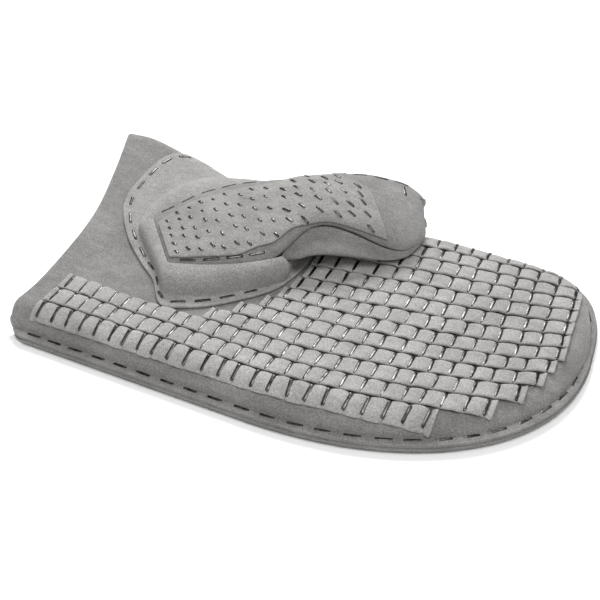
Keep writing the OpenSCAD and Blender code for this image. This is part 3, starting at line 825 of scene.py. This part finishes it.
def root_point(t, w):
    """Point on the root dome: t from 0 at the fold to 1 at the wrist end, w from 0 near to 1 far."""
    dome = THUMB_T / 2 * np.sqrt(np.clip(1 - t * t, 0, 1))
    p = mix(near_seam(t), far_seam(t), np.asarray(w)[..., None])
    p[..., 2] += dome * section(1 - 2 * w) + SUEDE * smooth((t - 0.8) / 0.2)
    return p


def outer_point(t, w):
    """Outer panel: t from -1 at the wrist end over 0 at the fold to 1 at the tip."""
    t, w = np.broadcast_arrays(np.asarray(t, float), np.asarray(w, float))
    root, free = root_point(np.clip(-t, 0, 1), w), free_point(np.clip(t, 0, 1), np.arccos(2 * w - 1))
    return np.where((t < 0)[..., None], root, free)


def relax(grid, rounds, mask):
    """Smooths a grid along its first direction where mask is above 0."""
    for _ in range(rounds):
        mid = grid.copy()
        mid[1:-1] = (grid[:-2] + grid[2:]) / 2
        grid = grid + (mid - grid) * mask
    return grid


def outer_grid(n, m):
    """Grid of n by m points over the outer panel, smoothed across the fold."""
    back = np.linspace(-1, 0, n // 2, endpoint=False)
    front = np.sin(np.linspace(0, math.pi / 2, n - n // 2)) * 0.999
    t = np.concatenate([back, front])
    a = np.linspace(0.02, math.pi - 0.02, m)
    w = (1 - np.cos(a)) / 2
    grid = outer_point(t[:, None], w[None, :])
    near_fold = np.exp(-((t / 0.28) ** 2))[:, None, None]
    return t, w, relax(grid, 60, near_fold * 0.9)


def sample(t_axis, w_axis, grid, t, w):
    """Bilinear look-up on the outer panel's relaxed grid."""
    ti = np.interp(t, t_axis, np.arange(len(t_axis)))
    wi = np.interp(w, w_axis, np.arange(len(w_axis)))
    i, j = np.clip(ti.astype(int), 0, grid.shape[0] - 2), np.clip(wi.astype(int), 0, grid.shape[1] - 2)
    f, g = (ti - i)[..., None], (wi - j)[..., None]
    return (grid[i, j] * (1 - f) * (1 - g) + grid[i + 1, j] * f * (1 - g) + grid[i, j + 1] * (1 - f) * g
            + grid[i + 1, j + 1] * f * g)


def across_fold(obj):
    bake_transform(obj)


def make_thumb():
    t, w, grid = outer_grid(220, 70)
    x, y = grid[..., 0], grid[..., 1]
    normal = grid_normals(grid)
    skin = grid + normal * (ripple(x, y, 22, 31) * 0.35)[..., None]
    panel = shell("thumb_outer_leather", skin, skin - normal * SUEDE, BODY)
    finish_piece(panel, "body_suede", "thumb_outer_panel", "thumb_root_panel", body=None)
    across_fold(panel)
    make_patch(t, w, skin, normal)
    make_inner()
    return t, w, skin, normal


LEAF_LOW = [(-0.965, 0.07), (-0.6, 0.06), (-0.4, 0.05), (-0.15, 0.09),
            (0.02, 0.09), (0.18, 0.02), (0.35, 0.01), (0.66, 0.03)]
LEAF_HIGH = [(-0.965, 0.74), (-0.7, 0.80), (-0.3, 0.80), (0.0, 0.82), (0.3, 0.8), (0.5, 0.7), (0.66, 0.5)]


def leaf(a, b):
    """Leaf-shaped wear patch: a along it from 0 to 1, b across it; gives t and w on the outer panel."""
    t = -0.965 + a * (1.585 + 0.06 * (1 - b))
    return t, mix(spline(LEAF_LOW, t), spline(LEAF_HIGH, t), b)


def make_patch(t_axis, w_axis, skin, normal):
    a, b = np.meshgrid(np.linspace(0, 1, 180), np.linspace(0, 1, 50), indexing="ij")
    t, w = leaf(a, b)
    on = sample(t_axis, w_axis, skin, t, w)
    up = sample(t_axis, w_axis, normal, t, w)
    up /= np.linalg.norm(up, axis=2, keepdims=True)
    dimple = 0.22 * np.sin(a * 44) * np.sin(b * 16)
    top = on + up * (1.35 + dimple + ripple(on[..., 0], on[..., 1], 14, 41) * 0.1)[..., None]
    patch = shell("wear_patch_leather", top, on + up * 0.08, PATCH)
    finish_piece(patch, "strip_suede", "thumb_patch", "thumb_root_patch", body=None)
    across_fold(patch)
    make_patch_staples(t_axis, w_axis, skin, normal)


def make_patch_staples(t_axis, w_axis, skin, normal):
    """Staggered rows of short staples; none crosses the fold."""
    root_wire, free_wire = Wire(), Wire()
    for i, j in np.ndindex(15, 5):
        a0 = 0.045 + i * 0.064 + rng.normal(0, 0.004)
        b0 = 0.1 + j * 0.2 + (i % 2) * 0.06 - 0.03 + rng.normal(0, 0.012)
        t0, w0 = leaf(np.array([a0]), np.array([b0]))
        p = sample(t_axis, w_axis, skin, t0, w0)[0]
        n = sample(t_axis, w_axis, normal, t0, w0)[0]
        n = n / np.linalg.norm(n)
        if abs(t0[0]) < 0.035:
            continue
        turn = math.radians(-26 + rng.normal(0, 5))
        d = np.array([math.cos(turn), math.sin(turn), 0.0])
        d -= n * (d @ n)
        free = t0[0] > 0
        wire = free_wire if free else root_wire
        wire.add(p + n * 1.38, d, n, 5.6 if free else 3.6, 1.6, width=1.25, thick=0.4, bow=0.1)
    root_wire.build("patch_wire_root", "root_patch_staples")
    free_wire.build("patch_wire_free", "thumb_patch_staples", body="thumb")


def make_inner():
    front = np.sin(np.linspace(0, math.pi / 2, 110)) * 0.999
    s = np.concatenate([np.linspace(-0.06, 0, 8, endpoint=False), front])
    a = np.linspace(0.03, math.pi - 0.03, 70)
    grid = free_point(np.clip(s, 0, 1)[:, None], -a[None, :])
    back = np.minimum(s, 0)[:, None]
    grid[..., 0] += ALONG[0] * THUMB_L * back
    grid[..., 1] += ALONG[1] * THUMB_L * back
    normal = grid_normals(grid)
    if normal[60, 35, 2] > 0:
        normal = -normal
    x, y = grid[..., 0], grid[..., 1]
    skin = grid + normal * (ripple(x, y, 20, 33) * 0.4)[..., None]
    panel = shell("thumb_inner_leather", skin, skin - normal * SUEDE, BODY)
    finish_piece(panel, "body_suede", "thumb_inner_panel", body=None)
    across_fold(panel)


def make_thumb_lining():
    s = np.sin(np.linspace(0.02, math.pi / 2, 70)) * 0.93
    a = np.linspace(0.05, 2 * math.pi - 0.05, 90)
    outer = free_point(s[:, None], a[None, :], 6.0)
    inner = free_point(s[:, None], a[None, :], 6.0 + FELT)
    sink = 4.0 * smooth(-2 * np.cos(a))[None, :] * fold(s)[:, None]
    outer[..., 2] -= sink
    inner[..., 2] -= sink
    sheet = shell("thumb_felt", outer, inner, LINING)
    finish_piece(sheet, "felt_lining", "thumb_lining", body="thumb")
    declare_felt(outer)


# ---------------------------------------------------------------- gusset: base patch and wall of the thumb
def seam_ring(k):
    """Top seam of the gusset wall, k from 0 to RING_END round the thumb."""
    k = np.asarray(k, float)
    f = np.clip((k - RING_FAR) / (RING_END - RING_FAR), 0, 1)[..., None]
    level = 0 * f
    rise = section(2 * f - 1) * THUMB_T / 2
    crotch = mix(FAR_ROOT, NEAR_ROOT, f)
    crotch = crotch - np.concatenate([1.2 * ALONG[0] + level, 1.2 * ALONG[1] + level, rise], -1)
    across = np.clip((k - RING_NEAR) / (RING_WRIST - RING_NEAR), 0, 1)[..., None]
    wrist = mix(near_seam(1.0), far_seam(1.0), across)
    out = np.where((k <= RING_NEAR)[..., None], near_seam(np.clip(k / RING_NEAR, 0, 1)), wrist)
    back = far_seam(np.clip(1 - (k - RING_WRIST) / (RING_FAR - RING_WRIST), 0, 1))
    out = np.where((k > RING_WRIST)[..., None], back, out)
    return np.where((k > RING_FAR)[..., None], crotch, out)


def gusset_grid(rim, top, inward):
    """Grid from the stapled rim over the flat base and up the wall to the top seam."""
    foot = mix(top[:, :2], rim, 0.5)
    rows = []
    for f in np.linspace(0, 1, 12):
        p = mix(rim, foot, f)
        climb = BASE_GAP + 1.26 * smooth((f - 0.55) / 0.45)
        rows.append(np.column_stack([p, palm_top(p[:, 0], p[:, 1]) + climb]))
    base = rows[-1]
    for f in np.linspace(0, 1, 14)[1:]:
        p = mix(base, top, f)
        p[:, :2] -= inward * math.sin(math.pi * f) * 2.2
        p[:, 2] += math.sin(math.pi * f) * 3.0
        rows.append(p)
    grid = np.stack(rows, 1)
    for _ in range(3):
        grid[:, 1:-1] = grid[:, 1:-1] * 0.4 + (grid[:, :-2] + grid[:, 2:]) * 0.3
        grid = 0.5 * grid + 0.25 * (np.roll(grid, 1, 0) + np.roll(grid, -1, 0))
    floor = palm_top(grid[..., 0], grid[..., 1]) + 0.3
    grid[..., 2] = np.maximum(grid[..., 2], floor)
    return grid


def make_gusset():
    """Base patch and wall of the thumb in one piece, and the staples round its border."""
    k = np.linspace(0, RING_END, 420, endpoint=False)
    rim, top = border(k), seam_ring(k)
    inward = top[:, :2] - rim
    inward /= np.linalg.norm(inward, axis=1, keepdims=True)
    grid = gusset_grid(rim, top, inward)
    normal = grid_normals(np.concatenate([grid[-1:], grid, grid[:1]]))[1:-1]
    if normal[..., 2].mean() < 0:
        normal = -normal
    x, y = grid[..., 0], grid[..., 1]
    skin = grid + normal * (ripple(x, y, 24, 51) * 0.25)[..., None]
    gusset = shell("gusset_leather", skin + normal * SUEDE, skin, LIT_GUSSET_SUEDE, closed=True)
    finish_piece(gusset, "body_suede", "thumb_gusset")
    wire = Wire()
    at = np.linspace(0, 13.4, 600)
    to_wall = np.array([np.interp(at, k, inward[:, i]) for i in (0, 1)]).T
    path = even(border(at) + 3.4 * to_wall, 900)
    staple_path(wire, path, lambda x, y: palm_top(x, y) + BASE_GAP + SUEDE,
                BORDER_PITCH, BORDER_STAPLE, BORDER_LEG, sink=0.0)
    wire.build("gusset_wire", "gusset_staples")


def seam_wires(wire, panel, t, w):
    """Long staples end to end along a line t, w on the thumb's outer panel."""
    t_axis, w_axis, skin, normal = panel
    p, n = sample(t_axis, w_axis, skin, t, w), sample(t_axis, w_axis, normal, t, w)
    run = np.concatenate([[0], np.cumsum(np.linalg.norm(np.diff(p, axis=0), axis=1))])
    count = int((run[-1] - THUMB_SPAN) // THUMB_PITCH) + 1
    first = (run[-1] - (count - 1) * THUMB_PITCH) / 2
    for k in range(count):
        at = first + k * THUMB_PITCH + rng.uniform(-0.5, 0.5)
        a, b, m = [np.array([np.interp(at + f * THUMB_SPAN / 2, run, q[:, c]) for c in range(3)])
                   for f, q in ((-1, p), (1, p), (0, n))]
        m /= np.linalg.norm(m)
        wire.add((a + b) / 2 + m * 0.02, b - a, m, THUMB_STAPLE, THUMB_LEG)


def make_thumb_seams(panel):
    """Long staples along both edges of the root, the far edge of the free thumb and round its tip."""
    wire = Wire()
    back = np.linspace(-0.95, -0.09, 200)
    seam_wires(wire, panel, back, np.full(200, 0.035))
    seam_wires(wire, panel, back, np.full(200, 0.955))
    wire.build("thumb_root_wire", "root_seam_staples")
    wire = Wire()
    seam_wires(wire, panel, np.sin(np.linspace(0.06, math.pi / 2 - 0.33, 300)), np.full(300, 0.9))
    turn = np.linspace(0.82, 0.6, 200)
    seam_wires(wire, panel, np.full(200, 0.88), turn)
    wire.build("thumb_edge_wire", "thumb_seam_staples", body="thumb")


# ---------------------------------------------------------------- set: floor, light, camera
def make_stage():
    """Pale floor just under the mitt, white surroundings and three soft lights."""
    size, depth = 4.0, -0.0003
    mesh = bpy.data.meshes.new("floor")
    corners = [(-size, -size, depth), (size, -size, depth), (size, size, depth), (-size, size, depth)]
    mesh.from_pydata(corners, [], [(0, 1, 2, 3)])
    floor = bpy.data.objects.new("floor", mesh)
    bpy.context.scene.collection.objects.link(floor)
    material = bpy.data.materials.new("floor")
    material.use_nodes = True
    shader = material.node_tree.nodes["Principled BSDF"]
    shader.inputs["Base Color"].default_value = (0.93, 0.93, 0.93, 1)
    shader.inputs["Roughness"].default_value = 0.9
    mesh.materials.append(material)
    world = bpy.data.worlds.new("studio")
    world.use_nodes = True
    world.node_tree.nodes["Background"].inputs["Color"].default_value = (1, 1, 1, 1)
    world.node_tree.nodes["Background"].inputs["Strength"].default_value = 0.42
    bpy.context.scene.world = world
    add_light("key", (-0.35, 0.75, 0.95), 0.4, 14.0)
    add_light("front", (-0.1, -0.9, 0.7), 0.5, 1.2)
    add_light("top", (0.35, -0.35, 1.3), 0.6, 9.5)
    bpy.context.scene.view_settings.view_transform = "Standard"


def add_light(name, place, size, power):
    data = bpy.data.lights.new(name, "AREA")
    data.size, data.energy = size, power
    lamp = bpy.data.objects.new(name, data)
    lamp.location = place
    lamp.rotation_mode = "QUATERNION"
    lamp.rotation_quaternion = (-Vector(place)).to_track_quat("-Z", "Y")
    bpy.context.scene.collection.objects.link(lamp)


def make_camera():
    """Camera on the little-finger side, a little towards the fingertips, looking down on the palm."""
    azimuth, elevation, distance = math.radians(25), math.radians(38), 0.427
    target = Vector((4.8, -0.5, 8.8)) * MM
    back = Vector((math.sin(azimuth) * math.cos(elevation), -math.cos(azimuth) * math.cos(elevation),
                   math.sin(elevation)))
    data = bpy.data.cameras.new("camera")
    data.lens, data.sensor_width = 45.7, 36.0
    data.clip_start, data.clip_end = 0.01, 20
    camera = bpy.data.objects.new("camera", data)
    camera.location = target + back * distance
    camera.rotation_mode = "QUATERNION"
    camera.rotation_quaternion = (-back).to_track_quat("-Z", "Y")
    bpy.context.scene.collection.objects.link(camera)
    bpy.context.scene.camera = camera


make_camera()
make_stage()
make_panels()
make_linings()
make_welt()
make_seam_staples()
for row in range(1, ROWS + 1):
    make_row(row)
thumb = make_thumb()
make_thumb_lining()
make_thumb_seams(thumb)
make_gusset()
